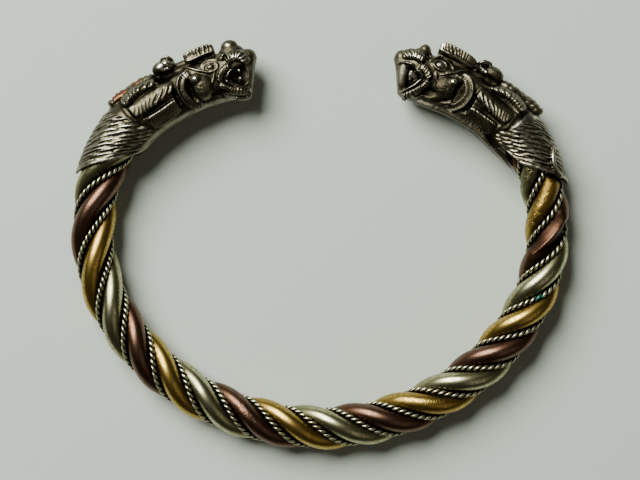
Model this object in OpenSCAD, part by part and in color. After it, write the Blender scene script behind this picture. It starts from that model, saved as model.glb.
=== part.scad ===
// Open cuff bangle: three twisted metal rods with a fine rope in each groove,
// held at both ends in the hollow neck of a cast dragon head.
// It lies on its side on Z = 0, with the gap between the heads towards +Y.

/* [Twisted rods] */
// Thickness of each rod
rod_d = 3.0; // [2.7:0.1:3.1]
// Space left between neighbouring rods
rod_gap = 0.1; // [0.1:0.02:0.16]
// Length along the cuff of one full turn of the twist
turn_len = 20.6; // [18:0.2:26]
// Thickness of the rope that lies in each groove
rope_d = 0.86; // [0.6:0.02:0.9]

/* [Cuff] */
// Distance from the middle of the oval out to the middle of the back
back_y = 26.95; // [26:0.05:28]
// Length of bare twist from the middle of the back to the tip of the left cap
left_cap = 58; // [56:0.2:59]
// Length of bare twist from the middle of the back to the tip of the right cap
right_cap = 56.6; // [55:0.2:58]

/* [Heads] */
// Length of a head from the pointed tip of its cap to its snout
head_len = 31.2; // [30:0.2:33]
// Depth of the hollow neck that holds the rods, from the tip of the cap
socket_len = 11.4; // [11:0.1:12]
// Space between the twisted rods and the wall of the neck
socket_gap = 0.08; // [0.06:0.02:0.14]
// Depth of the hair grooves on the neck
hair_depth = 0.22; // [0.1:0.02:0.3]
// Lean of the whole cuff as it lies on the heads and on the back of the twist
lie_angle = 1.1; // [1.0:0.02:1.2]

/* [Hidden] */

// The centre line as arcs that follow each other, from the middle of the back
// out to a snout. Each row holds the radius and the angle turned.
left_arcs = [[37.7, 33.1], [32.3, 27.0], [25.7, 47.3], [22.1, 38.1], [30.8, 40]];
right_arcs = [[37.1, 33.6], [33.6, 25.3], [25.9, 46.9], [22.2, 42.2], [29.1, 40]];

// Moves the middle of the whole cuff over the origin and stands it on Z = 0
mid_x = -0.04;
mid_y = 0.71;
lift_z = 3.958;

// The twist turns a little faster to the right. On a stretch before the left end
// it is slacker, and loses these degrees in all.
turn_rate = 360 / turn_len;
quicken = 0.0172;
slack_turn = 55;
slack_from = -36.5;
slack_over = 22;

// How far the strands stop short of the floor of each neck
end_gap = 1;
strand_from = -(left_cap + socket_len - end_gap);
strand_to = right_cap + socket_len - end_gap;

// The slant of the twist brings strands nearer to each other than they look in
// a straight cut, most of all where the turn is shortest: at the right end, on
// the inside of the tightest arc
tightest_arc = min([for (row = left_arcs) row[0]]);
rods_circle = 0.63 * rod_d;
shortest_turn = 360 / (turn_rate + 2 * quicken * strand_to) * (1 - rods_circle / tightest_arc);
place_step = 0.005;
function nearest(r1, r2, apart) = min([for (a = [-60:2:20])
    norm([r2 * cos(apart + a) - r1, r2 * sin(apart + a), shortest_turn * a / 360])]);
function rod_place(r) = nearest(r, r, 120) >= rod_d + rod_gap ? r : rod_place(r + place_step);
function rope_place(r) =
    nearest(rod_r, r, 60) >= (rod_d + rope_d) / 2 + rod_gap ? r : rope_place(r + place_step);
rod_r = rod_place(rod_d / 2);
rope_r = rope_place(rod_r);

rod_sides = 10;
rope_sides = 8;
strand_rings = 63;

// Distances along a head are made for this length and scaled to head_len
drawn_len = 31.2;
stretch = head_len / drawn_len;
skin_sides = 18;
neck_end = 10;
neck_rings = 7;
socket_rings = 4;
// The wall of the neck is a polygon along chords of the bend, so it starts
// from a little more than the radius that has to fit
chord_loss = pow(socket_len / socket_rings, 2) / (8 * tightest_arc);
socket_r = (rod_r + rod_d / 2 + socket_gap + chord_loss) / cos(180 / skin_sides);
// The slanted rim of the cap runs from its pointed tip on the outside of the
// cuff to this distance on the wrist side
rim_slope = 8.8;
// Share of hair_depth that the hair grooves still have on the wrist side
shallow = 0.1;

// Shape of a head behind the relief, from the neck to the snout. Columns:
// distance from the tip of the cap, height outwards, height inwards, half width
skin_rows = [
    [0, 3.95, 4.0, 3.95],
    [6, 4.3, 4.15, 4.1],
    [10, 4.35, 4.2, 4.15],
    [10.7, 4.0, 4.25, 4.0],
    [12.6, 3.9, 4.3, 3.75],
    [17.5, 3.5, 4.35, 3.4],
    [19.5, 2.9, 4.3, 3.15],
    [25.5, 2.8, 4.4, 3.0],
    [28, 3.2, 4.45, 2.75],
    [30.2, 2.7, 4.3, 2.4],
    [31, 2.1, 3.9, 2.0],
    [31.2, 1.5, 3.2, 1.5]];
first_face_row = 3;
// How far the chin stays behind the upper lip, over the last stretch of the snout
chin_back = [[27, 0], [31.2, 1.1]];
tops = [for (row = skin_rows) [row[0], row[1]]];
bottoms = [for (row = skin_rows) [row[0], row[2]]];
halves = [for (row = skin_rows) [row[0], row[3]]];

// Relief on each flank, seen from the side of the head. Each row is a ridge
// along a curve. Columns: distance and height of its start, of the point that
// pulls the curve, and of its end, then half breadth, height and ribs
flank_ridges = [
    [16.7, 2.5, 14.0, 3.0, 11.0, 3.0, 1.18, 0.87, 3],
    [18.2, 0.7, 14.5, 0.9, 11.2, 0.8, 1.2, 0.75, 3],
    [18.0, -2.3, 15.0, -2.1, 12.3, -2.2, 1.25, 0.75, 3],
    [21.0, 2.0, 15.0, -0.6, 21.0, -3.9, 0.6, 0.9, 3],
    [27.1, 1.6, 25.3, 0.9, 24.83, -1.05, 0.55, 0.85, 2],
    [24.97, -0.52, 26.2, -3.2, 29.6, -3.6, 0.6, 0.8, 2],
    [21.8, 2.6, 23.0, 1.0, 24.6, 0.4, 0.3, 0.5, 1],
    [26.9, 1.9, 28.9, 2.9, 30.2, 0.9, 0.55, 0.7, 1]];

// Ridges that stand up from the back of the head, in the same columns, with
// the distance from the middle plane as one more
back_ridges = [
    [16.0, 3.4, 12.5, 4.1, 9.9, 4.0, 1.0, 1.1, 3, 0],
    [25.4, 3.0, 23.2, 3.9, 21.4, 3.0, 0.75, 1.7, 3, 1.3],
    [25.4, 3.0, 23.2, 3.9, 21.4, 3.0, 0.75, 1.7, 3, -1.3]];

// Round bosses on each flank. Columns: distance, height, radius, and how far
// the middle lies under the skin
bosses = [
    [21.9, 0.1, 1.4, 0.3],
    [21.7, -2.5, 1.1, 0.3],
    [24.4, 1.7, 0.75, 0.05]];
eye_ring = [24.38, 1.72, 1.08, 0.32];

// Ears and nostrils stand in pairs, each a ball that runs on down to a second
// one. Rows hold distance, height, distance from the middle plane and diameter.
ear_balls = [[18.3, 3.95, 1.25, 2.2], [17.7, 3.05, 1.25, 1.76]];
nose_balls = [[27.8, 3.8, 0.45, 1.9], [28.7, 2.6, 0.8, 1.9]];

// Outline of the open mouth, which is sunk into both flanks and leaves a
// tongue between them
mouth_outline = [[26.4, -0.6], [27.7, 0.9], [29.7, 0.7], [29.8, -2.7], [28.6, -2.4]];
mouth_reach = 6;
tongue_half = 0.8;

// Teeth stand in the mouth. Columns: distance, height, and -1 for one that
// points outwards or 1 for one that points to the wrist
teeth = [[28.7, -2.6, -1], [28.7, 0.7, 1]];
tooth_h = 1.0;
tooth_d = 0.7;
tooth_tip_d = 0.2;
tooth_w = 1.7;
tooth_seat = 0.4;

// Place on the centre line at a distance from the middle of the back: X, Y and heading
function turn_by(x, y, h, r, sweep) =
    [x + r * (sin(h + sweep) - sin(h)), y + r * (cos(h) - cos(h + sweep)), h + sweep];
function along(arcs, d, i = 0, from = [0, -back_y, 0]) =
    let(r = arcs[i][0], sweep = arcs[i][1], run = r * sweep * PI / 180)
    d <= run || i == len(arcs) - 1
        ? turn_by(from[0], from[1], from[2], r, d / r * 180 / PI)
        : along(arcs, d - run, i + 1, turn_by(from[0], from[1], from[2], r, sweep));

// The same with distances to the left as negative, always heading to the right
function station(s) = s < 0
    ? let(p = along(left_arcs, -s)) [-p[0], p[1], -p[2]]
    : along(right_arcs, s);

function unit(v) = v / norm(v);
function inward(h) = [-sin(h), cos(h), 0];

function smooth(t) = t * t * (3 - 2 * t);
function twist(s) =
    turn_rate * s + quicken * pow(max(0, s), 2)
    + slack_turn * smooth(max(0, min(1, (slack_from - s) / slack_over)));

// Point of a strand that starts at an angle round the bundle
function strand_point(s, r, from) =
    let(p = station(s), a = 90 + from + twist(s))
    [p[0], p[1], 0] + r * (cos(a) * inward(p[2]) + sin(a) * [0, 0, 1]);

// Angles of the corners of a round wire, and of a ridge whose foot is flat
function round_corners(sides) = [for (j = [0:sides - 1]) 360 * j / sides];
ridge_corners = [0, 58, 118, 242, 302];

// Ring of points round a middle, square to the way it runs
function ring(middle, ahead, up, wide, high, corners) =
    let(t = unit(ahead), u = unit(up - (up * t) * t), v = cross(t, u))
    [for (a = corners) middle + high * cos(a) * u + wide * sin(a) * v];

// Closed solid through rings that all have the same number of points
module loft(rings) {
    n = len(rings[0]);
    last = (len(rings) - 1) * n;
    polyhedron(
        points = [for (r = rings) each r],
        faces = concat(
            [[for (j = [0:n - 1]) j]],
            [for (i = [0:len(rings) - 2], j = [0:n - 1], half = [0, 1])
                let(a = i * n + j, b = i * n + (j + 1) % n)
                half == 0 ? [a, a + n, b + n] : [a, b + n, b]],
            [[for (j = [n - 1:-1:0]) last + j]]));
}

module strand(d, r, from, sides) {
    probe = 0.2;
    loft([for (i = [0:strand_rings - 1])
        let(s = strand_from + (strand_to - strand_from) * i / (strand_rings - 1))
        ring(
            strand_point(s, r, from),
            strand_point(s + probe, r, from) - strand_point(s - probe, r, from),
            [0, 0, 1],
            d / 2, d / 2, round_corners(sides))]);
}

module rod(from) {
    laid() strand(rod_d, rod_r, from, rod_sides);
}

module rope(from) {
    laid() strand(rope_d, rope_r, from, rope_sides);
}

// The cuff as it lies by itself
module laid() {
    translate([-mid_x, -mid_y, lift_z]) rotate([lie_angle, 0, 0]) children();
}

// Side is -1 for the left head and 1 for the right one. A place on a head is
// its distance from the tip of the cap, its height outwards and its distance
// from the middle plane.
function cap_at(side) = side < 0 ? left_cap : right_cap;
function head_point(side, place) =
    let(p = station(side * (cap_at(side) + place[0] * stretch)))
    [p[0], p[1], place[2]] - place[1] * inward(p[2]);

module at_head(side, u) {
    p = station(side * (cap_at(side) + u * stretch));
    translate([p[0], p[1], 0]) rotate([0, 0, p[2] + (side < 0 ? 180 : 0)])
        mirror([0, side < 0 ? 0 : 1, 0]) children();
}

// Outline of the head at a distance, at an angle from the outside of the cuff
function skin_at(u, a, off = 0) =
    let(h = cos(a) > 0 ? lookup(u, tops) : lookup(u, bottoms))
    [u, cos(a) * (h + off), sin(a) * (lookup(u, halves) + off)];
function rim_at(a) = rim_slope * (1 - cos(a)) / 2;
function blend(a, b, t) = a + (b - a) * t;

function skin_angles(side) = [for (j = [0:skin_sides - 1]) -side * 360 * j / skin_sides];

module head_shell(side) {
    loft(concat(
        [for (i = [socket_rings:-1:0])
            [for (a = skin_angles(side))
                let(u = blend(rim_at(a), socket_len, i / socket_rings))
                head_point(side, [u, socket_r * cos(a), socket_r * sin(a)])]],
        [for (i = [0:neck_rings])
            [for (a = skin_angles(side))
                let(
                    u = blend(rim_at(a), neck_end, i / neck_rings),
                    groove = i % 2 == 0 ? 0 : hair_depth * max(shallow, abs(cos(a / 2))))
                head_point(side, skin_at(u, a, -groove))]],
        [for (i = [first_face_row:len(skin_rows) - 1])
            [for (a = skin_angles(side))
                let(u = skin_rows[i][0])
                head_point(side, skin_at(u, a) - [lookup(u, chin_back) * (1 - cos(a)) / 2, 0, 0])]]));
}

// Where a height on the flank meets the skin, and the way that it faces there
function flank_w(u, v) =
    let(h = v > 0 ? lookup(u, tops) : lookup(u, bottoms), q = min(0.97, abs(v) / h))
    lookup(u, halves) * sqrt(1 - q * q);
function flank_lean(u, v) =
    let(h = v > 0 ? lookup(u, tops) : lookup(u, bottoms), b = lookup(u, halves))
    atan2(v / (h * h), flank_w(u, v) / (b * b));
function flank_place(u, v, flank) = [u, v, flank * flank_w(u, v)];

function bend(row, t) =
    pow(1 - t, 2) * [row[0], row[1]] + 2 * t * (1 - t) * [row[2], row[3]] + t * t * [row[4], row[5]];

// Ribbed ridge along a curve, full in the middle and round at both ends, with
// dips between its ribs
end_taper = 0.92;
dip_share = 0.75;
function ridge_steps(row) = 2 * row[8] + 2;
module ridge(side, row, places, ups) {
    n = ridge_steps(row);
    loft([for (i = [0:n])
        let(
            full = sqrt(1 - pow(abs(2 * i / n - 1), 4) * end_taper),
            rib = i % 2 == 0 ? dip_share : 1)
        ring(
            places[i],
            places[min(i + 1, n)] - places[max(i - 1, 0)],
            ups[i],
            row[6] * full, row[7] * full * rib, ridge_corners)]);
}

module flank_ridge(side, flank, row) {
    n = ridge_steps(row);
    spots = [for (i = [0:n]) bend(row, i / n)];
    places = [for (q = spots) head_point(side, flank_place(q[0], q[1], flank))];
    ups = [for (i = [0:n])
        let(q = spots[i], lean = flank_lean(q[0], q[1]))
        head_point(side, flank_place(q[0], q[1], flank) + [0, sin(lean), flank * cos(lean)]) - places[i]];
    ridge(side, row, places, ups);
}

module back_ridge(side, row) {
    n = ridge_steps(row);
    spots = [for (i = [0:n]) bend(row, i / n)];
    places = [for (q = spots) head_point(side, [q[0], q[1], row[9]])];
    ups = [for (i = [0:n]) head_point(side, [spots[i][0], spots[i][1] + 1, row[9] * 1.2]) - places[i]];
    ridge(side, row, places, ups);
}

// Stands a shape on the flank, with its Z axis away from the skin
module on_flank(side, flank, u, v, sunk = 0) {
    at_head(side, u) mirror([0, 0, flank < 0 ? 1 : 0])
        translate([0, v, flank_w(u, v)]) rotate([-flank_lean(u, v), 0, 0])
            translate([0, 0, -sunk]) children();
}

module boss(r) {
    hull() {
        sphere(r, $fn = 8);
        translate([0, 0, -r / 2]) sphere(r / 2, $fn = 4);
    }
}

// Blends two balls of a pair on the flank
module ball_pair(side, flank, balls, sides) {
    at_head(side, balls[0][0]) hull() {
        for (i = [0, 1])
            translate([balls[i][0] - balls[0][0], balls[i][1], flank * balls[i][2]])
                sphere(d = balls[i][3], $fn = sides[i]);
    }
}

module ear(side, flank) {
    ball_pair(side, flank, ear_balls, [8, 4]);
}

module nose(side, flank) {
    ball_pair(side, flank, nose_balls, [8, 6]);
}

module mouth(side, flank) {
    at_head(side, mouth_outline[0][0])
        translate([-mouth_outline[0][0], 0, flank < 0 ? -tongue_half - mouth_reach : tongue_half])
            linear_extrude(mouth_reach) polygon(mouth_outline);
}

module tooth(side, flank, row) {
    at_head(side, row[0]) translate([0, row[1], flank * tooth_w])
        rotate([row[2] * 90, 0, 0]) translate([0, 0, -tooth_h * tooth_seat])
            cylinder(h = tooth_h, d1 = tooth_d, d2 = tooth_tip_d, $fn = 4);
}

module head(side) {
    laid() {
        difference() {
            union() {
                head_shell(side);
                for (flank = [-1, 1]) nose(side, flank);
            }
            for (flank = [-1, 1]) mouth(side, flank);
        }
        for (flank = [-1, 1]) {
            for (row = flank_ridges) flank_ridge(side, flank, row);
            for (row = bosses) on_flank(side, flank, row[0], row[1], row[3]) boss(row[2]);
            on_flank(side, flank, eye_ring[0], eye_ring[1])
                rotate_extrude($fn = 10) translate([eye_ring[2], 0]) circle(eye_ring[3], $fn = 4);
            ear(side, flank);
            for (row = teeth) tooth(side, flank, row);
        }
        for (row = back_ridges) back_ridge(side, row);
    }
}

module rod_white() {
    color("#b9b59c") rod(-60);
}

module rod_copper() {
    color("#7a4636") rod(-180);
}

module rod_brass() {
    color("#b08a3c") rod(-300);
}

module rope_1() {
    color("#8f8f88") rope(0);
}

module rope_2() {
    color("#8f8f88") rope(-120);
}

module rope_3() {
    color("#8f8f88") rope(-240);
}

module head_left() {
    color("#77736c") head(-1);
}

module head_right() {
    color("#77736c") head(1);
}

rod_white();
rod_copper();
rod_brass();
rope_1();
rope_2();
rope_3();
head_left();
head_right();
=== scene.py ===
from math import cos, inf, pi, radians, sin, sqrt

import bmesh
import bpy
import numpy as np
from mathutils import Matrix, Vector, noise


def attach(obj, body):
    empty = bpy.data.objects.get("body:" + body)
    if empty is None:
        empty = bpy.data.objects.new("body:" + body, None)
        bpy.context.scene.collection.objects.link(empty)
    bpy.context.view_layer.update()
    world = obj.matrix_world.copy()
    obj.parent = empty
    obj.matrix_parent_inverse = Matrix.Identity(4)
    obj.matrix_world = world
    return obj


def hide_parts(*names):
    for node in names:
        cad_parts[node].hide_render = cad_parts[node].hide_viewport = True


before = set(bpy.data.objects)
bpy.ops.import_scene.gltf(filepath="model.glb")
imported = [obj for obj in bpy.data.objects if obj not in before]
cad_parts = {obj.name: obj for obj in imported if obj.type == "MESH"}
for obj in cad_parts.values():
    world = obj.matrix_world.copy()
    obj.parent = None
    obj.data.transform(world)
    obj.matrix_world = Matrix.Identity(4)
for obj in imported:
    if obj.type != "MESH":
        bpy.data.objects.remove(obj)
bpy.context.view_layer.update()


# The three rods of the twist, one of white metal, one of copper and one of
# brass: each drawn round and 3 mm thick, laid together, twisted to the right
# and bent to an open oval. Their ends are held in the necks of the heads.
rod_d = 3.0
rod_from_middle = 1.9
# The middle of the twist: arcs from the back of the cuff to each side, with their
# radius (mm) and sweep (degrees), and how far along them the tips of the caps are
back_y = 26.95
left_arcs = [[37.7, 33.1], [32.3, 27.0], [25.7, 47.3], [22.1, 38.1], [30.8, 40]]
right_arcs = [[37.1, 33.6], [33.6, 25.3], [25.9, 46.9], [22.2, 42.2], [29.1, 40]]
left_cap = 58
right_cap = 56.6
strand_in_neck = 10.4
# The twist turns once in this length (mm), quickens towards the right end, and
# is slack by some degrees near the left end: from where and over what length
turn_len = 20.6
quicken = 0.0172
slack_turn = 55
slack_from = -36.5
slack_over = 22
# The cuff leans a little, so that it lies on both heads and on its back
lie_angle = radians(1.1)
lie_shift = Vector((0.04, -0.71, 3.958))
lying = Matrix.Scale(0.001, 4) @ Matrix.Translation(lie_shift) @ Matrix.Rotation(lie_angle, 4, "X")


def station(s):
    """Place and heading on the middle of the cuff, s mm to the right of its back."""
    x, y, heading = 0.0, -back_y, 0.0
    left = abs(s)
    arcs = left_arcs if s < 0 else right_arcs
    for radius, sweep in arcs:
        turn = left / radius
        if (radius, sweep) != tuple(arcs[-1]):
            turn = min(turn, radians(sweep))
        x += radius * (sin(heading + turn) - sin(heading))
        y += radius * (cos(heading) - cos(heading + turn))
        heading += turn
        left -= radius * turn
        if left <= 1e-9:
            break
    return (-x, y, -heading) if s < 0 else (x, y, heading)


def twist(s):
    """How far the strands have turned at s."""
    slack = max(0, min(1, (slack_from - s) / slack_over))
    angle = 360 / turn_len * s + quicken * max(0, s) ** 2 + slack_turn * slack * slack * (3 - 2 * slack)
    return radians(angle)


def strand_frame(s, from_middle, start):
    """Matrix at s on a strand: X away from the middle of the twist, Z along the strand."""
    def middle(at):
        x, y, heading = station(at)
        around = radians(90 + start) + twist(at)
        outward = Vector((-sin(heading) * cos(around), cos(heading) * cos(around), sin(around)))
        return Vector((x, y, 0)) + outward * from_middle, outward

    here, outward = middle(s)
    ahead = (middle(s + 0.1)[0] - middle(s - 0.1)[0]).normalized()
    across = ahead.cross(outward).normalized()
    outward = across.cross(ahead)
    turn = Matrix((outward, across, ahead)).transposed().to_4x4()
    return Matrix.Translation(here) @ turn


def tube(points, kept):
    """A closed tube through rings of points (mm), with the numbers kept for each of them by name."""
    rings, sides = points.shape[:2]
    bm = bmesh.new()
    bmesh.ops.create_grid(bm, x_segments=rings - 1, y_segments=sides, size=1)
    layers = [(bm.verts.layers.float.new(name), values) for name, values in kept.items()]
    for vert in bm.verts:
        i = round((vert.co.x + 1) / 2 * (rings - 1))
        j = round((vert.co.y + 1) / 2 * sides) % sides
        vert.co = points[i, j]
        for layer, values in layers:
            vert[layer] = values[i, j]
    bmesh.ops.remove_doubles(bm, verts=bm.verts, dist=1e-4)
    bmesh.ops.holes_fill(bm, edges=bm.edges, sides=0)
    return bm


def swept(frames, outline):
    """Rings of points: an outline (mm), or one for each ring, laid in each of the matrices."""
    frames = np.array(frames)
    outline = np.broadcast_to(outline, (len(frames), *outline.shape[-2:]))
    return np.einsum("iab,ijb->ija", frames[:, :3, :3], outline) + frames[:, None, :3, 3]


def finished(name, bm):
    """Makes the bmesh an object as the cuff lies, smooth, with its faces outwards."""
    bmesh.ops.transform(bm, matrix=lying, verts=bm.verts)
    bmesh.ops.recalc_face_normals(bm, faces=bm.faces)
    mesh = bpy.data.meshes.new(name)
    bm.to_mesh(mesh)
    bm.free()
    mesh.polygons.foreach_set("use_smooth", np.ones(len(mesh.polygons), bool))
    piece = bpy.data.objects.new(name, mesh)
    bpy.context.scene.collection.objects.link(piece)
    return piece


rod_sides = 48
rod_step = 0.25
strand_ends = -left_cap - strand_in_neck, right_cap + strand_in_neck

# Knocked stretches of each rod: from and to (mm along the cuff), how deep, how
# many marks to the mm along the rod and round it, how dark and how scratched
white_marks = [(55.5, 70, 0.10, 0.8, 1.2, 2.3, 1.0), (-70, -52, 0.0, 0.5, 1.0, 1.8, 0.0)]
copper_marks = [
    # The copper's creased stretch is dark copper, and partly painted shade on the flat that faces the lamp
    (45.3, 52.8, 0.02, 0.7, 0.9, 2.4, 0.3),
    (-14, -8, 0.03, 0.5, 0.8, 0.5, 0.5),
    (38, 43, 0.02, 0.6, 0.9, 0.5, 0.5)]
brass_marks = [(50.5, 60, 0.06, 1.3, 0.7, 1.6, 1.0), (12, 20, 0.02, 0.4, 0.8, 0.5, 0.5)]
marks_fade_over = 1.5
mark_edge = 0.4
# Where the copper was bent sharply: from and to, the ridge's turn from the
# crest of the rod at both ends, and half the angle of its two flats
copper_creases = [(46.6, 52.4, 0.35, -0.2, 0.78)]
crease_fades_over = 0.9
# From here to the right the brass dips to go in under the rim of the cap
brass_dips_at = 57.2
dip_deep = 0.9
dip_long = 0.9


def eased_in(share):
    """From 0 to 1 with a soft start and end."""
    share = min(1.0, max(0.0, share))
    return share * share * (3 - 2 * share)


def knocked(marks, s, angle):
    """How deep a rod is dented at a place, and how dark and how scratched the place is."""
    found = np.zeros(3)
    for start, stop, depth, along, around, dark, scratched in marks:
        inside = eased_in(min(s - start, stop - s) / marks_fade_over)
        if inside:
            y = cos(angle) * (rod_d / 2) * around
            z = sin(angle) * (rod_d / 2) * around
            near = noise.voronoi(Vector((s * along, y, z + start)))[0]
            dent = depth * min(1.0, (near[1] - near[0]) / mark_edge)
            found += inside * np.array((dent, dark, scratched))
    return found


def creased(creases, s, angle):
    """Share of its radius that a rod keeps where two flats meet in a ridge."""
    kept = 1.0
    for start, stop, first, last, half in creases:
        aim = first + (last - first) * (s - start) / (stop - start)
        off = abs((angle - aim + pi) % (2 * pi) - pi) - half
        flat = min(1.0, cos(half) / max(cos(off), 0.2))
        kept = min(kept, 1 + (flat - 1) * eased_in(min(s - start, stop - s) / crease_fades_over))
    return kept


def rod(name, node, start, marks, creases=(), dips_at=inf):
    """One rod, whose crest is turned by start (degrees) at the back of the cuff."""
    stops = np.arange(*strand_ends, rod_step)
    angles = np.linspace(0, 2 * pi, rod_sides, endpoint=False)
    frames = [strand_frame(s, rod_from_middle, start) for s in stops]
    circle = np.stack((np.cos(angles), np.sin(angles), 0 * angles), 1)
    hurt = np.array([[knocked(marks, s, angle) for angle in angles] for s in stops])
    kept_share = np.array([[creased(creases, s, angle) for angle in angles] for s in stops])
    dip = np.array([
        [dip_deep * eased_in((s - dips_at) / dip_long) * max(0.0, cos(angle)) for angle in angles]
        for s in stops])
    outline = circle[None] * (rod_d / 2 * kept_share - hurt[..., 0] - dip)[..., None]
    kept = {
        "along": np.repeat(stops[:, None], rod_sides, 1),
        "crest": np.repeat(circle[None, :, 0], len(stops), 0),
        "side": np.repeat(circle[None, :, 1], len(stops), 0),
        "hurt": hurt[..., 1],
        "scratched": hurt[..., 2]}
    piece = finished(name, tube(swept(frames, outline), kept))
    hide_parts(node)
    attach(piece, "root")
    return piece


white_rod = rod("white_metal_rod", "rod_white", -60, white_marks)
copper_rod = rod("copper_rod", "rod_copper", -180, copper_marks, copper_creases)
brass_rod = rod("brass_rod", "rod_brass", -300, brass_marks, dips_at=brass_dips_at)


class Nodes:
    """The nodes of one material, added and linked in short calls."""

    def __init__(self, name):
        self.material = bpy.data.materials.new(name)
        self.material.use_nodes = True
        self.tree = self.material.node_tree
        self.shader = self.tree.nodes["Principled BSDF"]

    def add(self, kind, inputs=(), **settings):
        node = self.tree.nodes.new("ShaderNode" + kind)
        for key, value in settings.items():
            setattr(node, key, value)
        for socket, value in dict(inputs).items():
            self.set(node.inputs[socket], value)
        return node

    def set(self, socket, value):
        if isinstance(value, bpy.types.NodeSocket):
            self.tree.links.new(value, socket)
        else:
            socket.default_value = value

    def math(self, operation, *values, clamp=False):
        node = self.add("Math", enumerate(values), operation=operation, use_clamp=clamp)
        return node.outputs[0]

    def between(self, value, low, high, to_low=0.0, to_high=1.0):
        """Carries a value from one span to another, and holds it inside."""
        inputs = {0: value, 1: low, 2: high, 3: to_low, 4: to_high}
        return self.add("MapRange", inputs, interpolation_type="SMOOTHSTEP").outputs[0]

    def stored(self, name):
        return self.add("Attribute", attribute_name=name).outputs["Fac"]

    def mix(self, share, one, other):
        node = self.add("Mix", {0: share, 6: one, 7: other}, data_type="RGBA")
        return node.outputs[2]

    def noise(self, place, scale, detail=4.0, roughness=0.6):
        inputs = {"Vector": place, "Scale": scale, "Detail": detail, "Roughness": roughness}
        return self.add("TexNoise", inputs).outputs["Fac"]

    def joined(self, x, y, z):
        return self.add("CombineXYZ", {0: x, 1: y, 2: z}).outputs[0]

    def bump(self, height, depth):
        return self.add("Bump", {"Height": height, "Distance": depth}).outputs[0]

    def give(self, **inputs):
        for socket, value in inputs.items():
            self.set(self.shader.inputs[socket.replace("_", " ")], value)


# How fast the surface changes along a rod and round it, for its clouds of
# tarnish, its drawing scratches and its chatter marks, and the size of its specks
clouds_along = 0.16
scratches_along = 0.7
scratches_around = 4.0
chatter_along = 2.6
speck_scale = 2600.0
scratches_deep = 0.00003


def drawn_metal(name, bright, worn, tarnish, dull=0.0):
    """Old drawn rod: pale where it is rubbed, dark towards the grooves, with fine specks and scratches."""
    n = Nodes(name)
    along = n.stored("along")
    crest = n.stored("crest")
    side = n.stored("side")
    hurt = n.stored("hurt")
    place = n.joined(n.math("MULTIPLY", along, clouds_along), crest, side)
    cloud = n.noise(place, 1.6, 5.0, 0.6)
    grain = n.noise(n.add("TexCoord").outputs["Object"], speck_scale, 4.0, 0.7)
    streak_place = n.joined(
        n.math("MULTIPLY", along, scratches_along),
        n.math("MULTIPLY", crest, scratches_around),
        n.math("MULTIPLY", side, scratches_around))
    streak = n.noise(streak_place, 3.0, 3.0, 0.65)
    chatter = n.noise(n.joined(n.math("MULTIPLY", along, chatter_along), crest, side), 1.5, 3.0, 0.7)
    specks = n.math("ADD", n.math("MULTIPLY", grain, 0.6), n.math("MULTIPLY", streak, 0.4))
    # It is rubbed on its crest, and less so where it is clouded or on the knocked,
    # darkened stretches; on the copper's crease that darkening is partly painted shade
    rubbed = n.math("ADD", crest, n.math("MULTIPLY", n.math("SUBTRACT", cloud, 0.5), 1.3))
    rubbed = n.math("SUBTRACT", rubbed, n.math("MULTIPLY", hurt, 0.3))
    tone = n.mix(n.between(rubbed, -0.4, 0.85), (*tarnish, 1), (*worn, 1))
    pits = n.between(n.noise(place, 14.0, 2.0, 0.5), 0.74, 0.80)
    tone = n.mix(n.math("MULTIPLY", pits, 0.5), tone, (*tarnish, 1))
    shine = n.math("MULTIPLY", n.between(rubbed, 0.3, 1.2), n.between(specks, 0.42, 0.62))
    colour = n.mix(n.math("MULTIPLY", shine, 0.85), tone, (*bright, 1))
    rough = n.between(rubbed, -0.3, 1.0, 0.42 + dull, 0.27 + dull)
    rough = n.math("ADD", rough, n.between(specks, 0.4, 0.6, 0.05, -0.03))
    chattered = n.math("MULTIPLY", n.math("MULTIPLY", chatter, n.stored("scratched")), 5.0)
    relief = n.math("ADD", n.math("MULTIPLY", specks, 0.3), chattered)
    n.give(Base_Color=colour, Metallic=1.0, Roughness=rough, Normal=n.bump(relief, scratches_deep))
    return n.material


white_rod.data.materials.append(
    drawn_metal("white metal", (0.68, 0.65, 0.44), (0.27, 0.255, 0.13), (0.046, 0.043, 0.017)))
copper_rod.data.materials.append(
    drawn_metal("toned copper", (0.18, 0.125, 0.092), (0.112, 0.054, 0.031), (0.026, 0.013, 0.008), 0.03))
brass_rod.data.materials.append(
    drawn_metal("aged brass", (0.76, 0.55, 0.15), (0.30, 0.188, 0.042), (0.050, 0.029, 0.006), 0.01))


# The three ropes, one in each groove between the rods: two fine wires of
# white metal twisted to the left, black between the wires and bright on top.
rope_from_middle = 2.65
wire_from_middle = 0.19
wire_thick = 0.205
wire_wide = 0.245
rope_lay = 1.9
rope_sides = 22
rope_rings_in_lay = 14
rope_slant = sqrt(1 + (2 * pi * rope_from_middle / turn_len) ** 2)
# The place of a spot of green corrosion on one rope (m), and how wide it is
green_spot = (0.0331, -0.0079, 0.0069)
green_fades_at = 0.0009
green_full_at = 0.0004


def two_wires(angle):
    """Distance from the middle of a rope to the outside of its two wires, which meet at its middle."""
    a = (cos(angle) / wire_thick) ** 2 + (sin(angle) / wire_wide) ** 2
    b = wire_from_middle * abs(cos(angle)) / wire_thick ** 2
    c = (wire_from_middle / wire_thick) ** 2 - 1
    return (b + sqrt(b * b - a * c)) / a


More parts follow.
